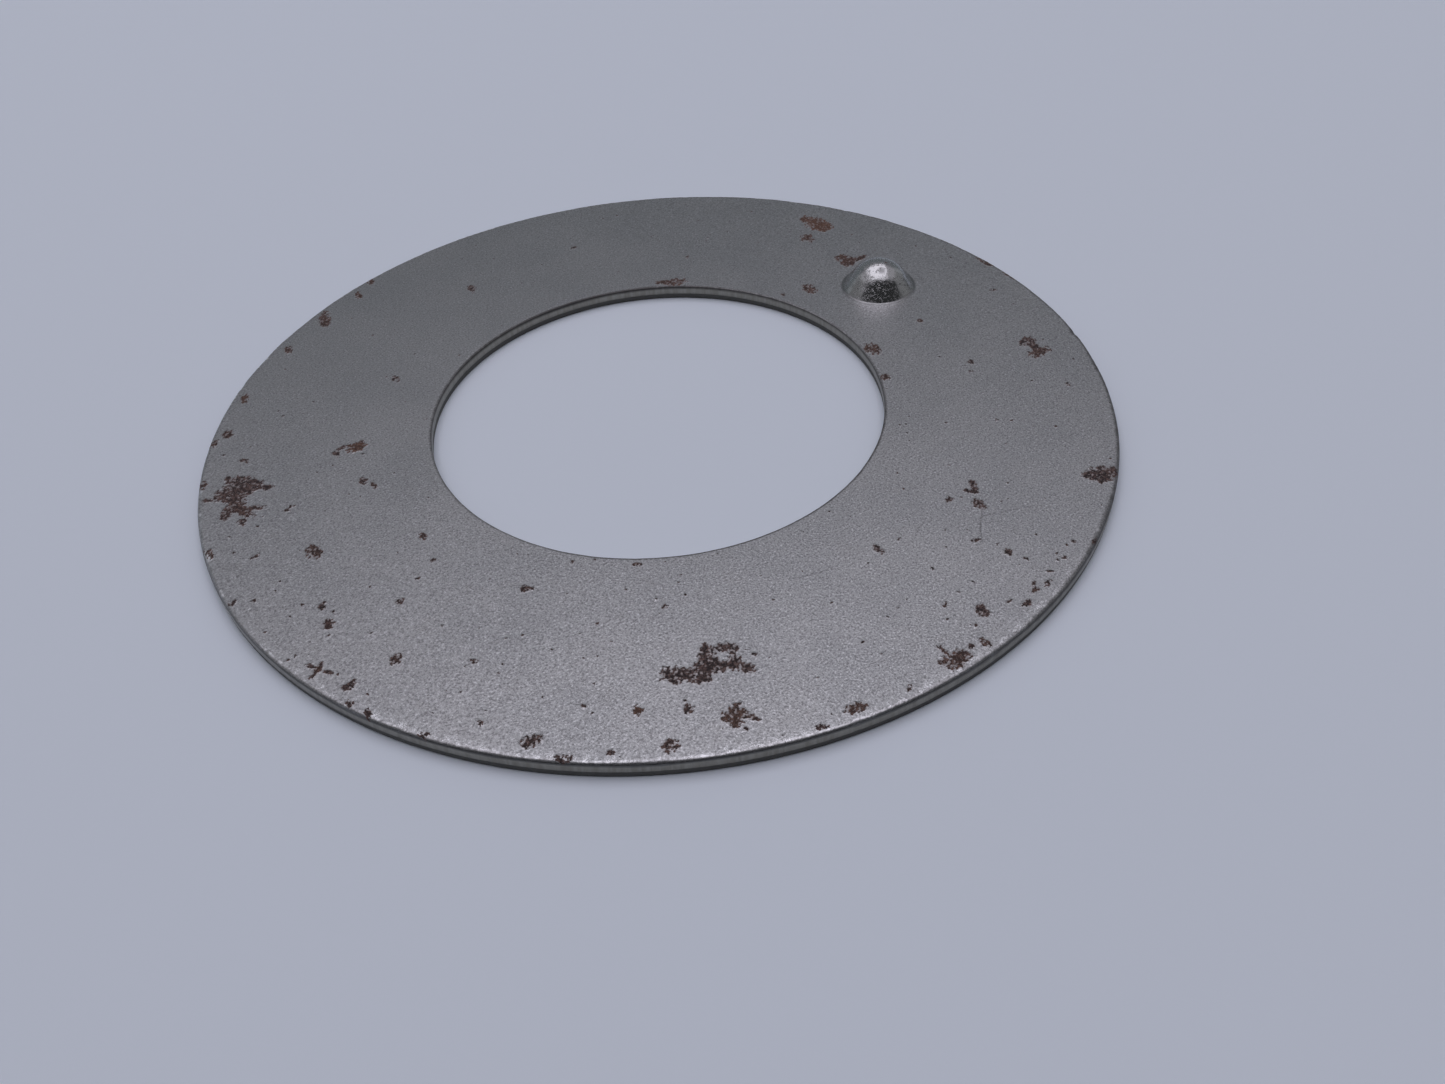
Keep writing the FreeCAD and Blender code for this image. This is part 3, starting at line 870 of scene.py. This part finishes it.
def rusted_steel():
    """Tumbled sheet steel, dull and finely grained, with brown crusts; the dimple is burnished."""
    graph = Graph("rusted_sheet_steel")
    place = graph.place()
    rust, tone, stain = graph.fact("rust"), graph.fact("tone"), graph.fact("stain")
    wall, depth, scratch = graph.fact("wall"), graph.fact("depth"), graph.fact("scratch")
    polish, grime, soil = graph.fact("polish"), graph.fact("grime"), graph.fact("soil")
    plain = graph.maths("SUBTRACT", 1.0, polish)

    grain = graph.noise(place, 5.4, 4.0, 0.7)
    fine = graph.noise(place, 9.0, 2.0, 0.6)
    cloud = graph.noise(place, 0.11, 3.0, 0.55)
    blotch = graph.noise(place, 0.5, 4.0, 0.6, 0.6)
    pitted = graph.maths("MULTIPLY", graph.ramp(graph.noise(place, 3.8, 4.0, 0.7), 0.55, 0.64), polish)

    steel = graph.tint(graph.ramp(cloud, 0.3, 0.7), (0.40, 0.402, 0.412, 1), (0.44, 0.438, 0.446, 1))
    dark_grain = graph.maths("MULTIPLY", graph.ramp(grain, 0.5, 0.62), plain)
    steel = graph.tint(graph.maths("MULTIPLY", dark_grain, 0.70), steel, (0.19, 0.185, 0.19, 1))
    steel = graph.tint(graph.ramp(blotch, 0.55, 0.8, 0.0, 0.25), steel, (0.36, 0.345, 0.335, 1))
    steel = graph.tint(graph.ramp(grain, 0.45, 0.34, 0.0, 0.78), steel, (0.72, 0.72, 0.74, 1))
    steel = graph.tint(polish, steel, (0.5, 0.5, 0.505, 1))
    steel = graph.tint(graph.maths("MULTIPLY", pitted, 0.85), steel, (0.2, 0.19, 0.19, 1))
    # Painted shade at the dimple's foot and in the dent.
    steel = graph.tint(graph.maths("MULTIPLY", grime, 0.85), steel, (0.1, 0.1, 0.102, 1))
    # Painted highlight: bright glints on the worn edge and in the belt inside the rim.
    glinted = graph.glints_and_wear(place, fine)
    steel = graph.tint(glinted, steel, (0.86, 0.86, 0.88, 1))
    dark_scratch = graph.maths("MAXIMUM", graph.maths("MULTIPLY", scratch, -0.7), 0.0)
    steel = graph.tint(dark_scratch, steel, (0.12, 0.11, 0.11, 1))
    bright_scratch = graph.maths("MAXIMUM", graph.maths("MULTIPLY", scratch, 0.3), 0.0)
    steel = graph.tint(bright_scratch, steel, (0.78, 0.78, 0.8, 1))
    steel = graph.tint(graph.ramp(stain, 0.1, 1.0, 0.0, 0.75), steel, (0.25, 0.18, 0.165, 1))

    upright = graph.place((1.0, 1.0, 9.0))
    drag = graph.noise(upright, 2.6, 3.0, 0.6)
    # The torn lower band is darker: partly its own torn surface, partly painted shade where the wall meets
    # the floor.
    torn = graph.ramp(depth, 0.60, 0.66)
    cut_wall = graph.tint(graph.ramp(drag, 0.3, 0.7), (0.25, 0.24, 0.21, 1), (0.33, 0.32, 0.285, 1))
    wall_colour = graph.tint(torn, cut_wall, (0.145, 0.143, 0.132, 1))
    wall_mask = graph.ramp(wall, 0.45, 0.7)
    # Painted reflection: a dark band on the lower part of the drawn corner, standing in for the dark it
    # reflects.
    corner_shade = graph.ramp(wall, 0.99, 0.8, 0.0, 0.8)
    wall_colour = graph.tint(corner_shade, wall_colour, (0.12, 0.12, 0.12, 1))
    steel = graph.tint(wall_mask, steel, wall_colour)
    # Painted shade: the drawn corners darkened to a dark line.
    steel = graph.tint(graph.maths("MULTIPLY", soil, 0.85), steel, (0.075, 0.07, 0.068, 1))

    ragged = graph.noise(place, 5.0, 4.0, 0.75)
    raised = graph.maths("ADD", rust, graph.ramp(ragged, 0.25, 0.75, -0.5, 0.4))
    crust = graph.ramp(raised, 0.42, 0.62)
    patchy = graph.noise(place, 3.6, 4.0, 0.75)
    uneven = graph.ramp(patchy, 0.35, 0.65, -0.7, 0.6)
    core = graph.maths("ADD", graph.ramp(rust, 0.6, 0.9), uneven, clamp=True)
    brown = graph.tint(core, (0.17, 0.11, 0.098, 1), (0.032, 0.022, 0.022, 1))
    orange = graph.tint(core, (0.21, 0.12, 0.085, 1), (0.10, 0.052, 0.036, 1))
    crust_colour = graph.tint(graph.ramp(tone, 0.3, 1.0), brown, orange)
    colour = graph.tint(crust, steel, crust_colour)
    graph.feed(graph.shader.inputs["Base Color"], colour)

    dielectric = graph.maths("MAXIMUM", crust, graph.ramp(stain, 0.2, 1.0, 0.0, 0.6))
    graph.feed(graph.shader.inputs["Metallic"], graph.maths("SUBTRACT", 1.0, dielectric))
    dull = graph.blend(graph.ramp(grain, 0.3, 0.7), 0.31, 0.42)
    dull = graph.blend(graph.ramp(polish, 0.1, 0.75), dull, 0.21)
    dull = graph.blend(wall_mask, dull, graph.blend(torn, 0.34, 0.6))
    dull = graph.blend(soil, dull, 0.6)
    dull = graph.blend(glinted, dull, 0.45)
    graph.feed(graph.shader.inputs["Roughness"], graph.blend(crust, dull, 0.9))

    unpolished = graph.maths("SUBTRACT", 1.0, graph.maths("MULTIPLY", polish, 0.8))
    normal = graph.bump(graph.maths("MULTIPLY", grain, unpolished), 0.03)
    hammered = graph.maths("MULTIPLY", graph.noise(place, 1.5, 2.0, 0.5), polish)
    normal = graph.bump(hammered, 0.03, below=normal)
    normal = graph.bump(graph.maths("MULTIPLY", pitted, -1.0), 0.01, below=normal)
    normal = graph.bump(graph.maths("MULTIPLY", drag, wall_mask), 0.03, below=normal)
    normal = graph.bump(graph.maths("MULTIPLY", ragged, crust), 0.05, below=normal)
    normal = graph.bump(graph.maths("MULTIPLY", scratch, -1.0), 0.01, below=normal)
    graph.feed(graph.shader.inputs["Normal"], normal)
    return graph.material


def pale_floor():
    """Plain pale paper."""
    graph = Graph("pale_floor")
    graph.shader.inputs["Base Color"].default_value = (0.82, 0.88, 0.967, 1)
    graph.shader.inputs["Roughness"].default_value = 0.8
    graph.shader.inputs["Specular IOR Level"].default_value = 0.2
    return graph.material


# ======================================================================== the studio

def add_floor():
    """A large plane just under the washer."""
    mesh = bpy.data.meshes.new("floor")
    signs = ((-1, -1), (1, -1), (1, 1), (-1, 1))
    mesh.from_pydata([(FLOOR_HALF * a, FLOOR_HALF * b, 0) for a, b in signs], [], [(0, 1, 2, 3)])
    mesh.materials.append(pale_floor())
    floor = bpy.data.objects.new("floor", mesh)
    floor.location.z = -FLOOR_DROP
    bpy.context.scene.collection.objects.link(floor)


def add_softbox(name, place, aim, size, radiance, colour):
    """A rectangular lamp of a given brightness, at a place and aimed at a point."""
    lamp = bpy.data.lights.new(name, "AREA")
    lamp.shape = "RECTANGLE"
    lamp.size, lamp.size_y = size
    lamp.energy = radiance * math.pi * size[0] * size[1]
    lamp.color = colour
    holder = bpy.data.objects.new(name, lamp)
    holder.matrix_world = view_axes() @ look_at(Vector(place), Vector(aim), 0.0)
    bpy.context.scene.collection.objects.link(holder)


def view_axes():
    """The view's axes: +X to its right, +Y away from the camera, +Z up, from the washer's centre."""
    return Matrix.Rotation(math.radians(CAMERA_BEARING + 90), 4, "Z")


def look_at(place, aim, roll):
    """A matrix at a place that looks along its -Z at the aim, rolled by some degrees."""
    turn = (aim - place).to_track_quat("-Z", "Y").to_matrix().to_4x4()
    return Matrix.Translation(place) @ turn @ Matrix.Rotation(math.radians(roll), 4, "Z")


def add_lights():
    """A large softbox overhead, a dim ceiling and dim walls far, left and right, in a dark room."""
    for name, place, aim, size, radiance, colour in SOFTBOXES:
        add_softbox(name, place, aim, size, radiance, colour)
    world = bpy.data.worlds.new("room")
    world.use_nodes = True
    background = world.node_tree.nodes["Background"]
    background.inputs["Color"].default_value = ROOM_COLOUR
    background.inputs["Strength"].default_value = ROOM_STRENGTH
    bpy.context.scene.world = world


def add_camera(sizes):
    """The camera at the photograph's viewing angle."""
    rim = sizes["rim"] * MM
    elevation = math.radians(CAMERA_ELEVATION)
    distance = CAMERA_DISTANCE * rim
    place = Vector((0, -distance * math.cos(elevation), distance * math.sin(elevation)))
    aim = Vector((AIM_RIGHT * rim, -AIM_TOWARDS_CAMERA * rim, 0))
    data = bpy.data.cameras.new("camera")
    data.lens = LENS_MM
    data.sensor_width = SENSOR_MM
    data.clip_start = 0.001
    camera = bpy.data.objects.new("camera", data)
    camera.matrix_world = view_axes() @ look_at(place, aim, CAMERA_ROLL)
    bpy.context.scene.collection.objects.link(camera)
    bpy.context.scene.camera = camera


# ======================================================================== the scene

def corners(bounds):
    """A box as plain lists of numbers."""
    return [[float(value) for value in corner] for corner in bounds]


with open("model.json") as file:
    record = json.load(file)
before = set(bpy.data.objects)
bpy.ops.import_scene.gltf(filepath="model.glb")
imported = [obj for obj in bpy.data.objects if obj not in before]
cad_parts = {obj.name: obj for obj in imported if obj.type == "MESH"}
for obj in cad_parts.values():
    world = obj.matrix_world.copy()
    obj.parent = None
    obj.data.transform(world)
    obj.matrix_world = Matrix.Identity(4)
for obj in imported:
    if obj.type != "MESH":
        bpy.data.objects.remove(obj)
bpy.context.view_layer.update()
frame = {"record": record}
washer_sizes = read_sizes(frame)
washer = build_washer(washer_sizes)
washer.data.materials.append(rusted_steel())
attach(washer, "root")
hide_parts("flat_washer")
add_floor()
add_lights()
add_camera(washer_sizes)
bpy.context.scene.view_settings.view_transform = "Standard"
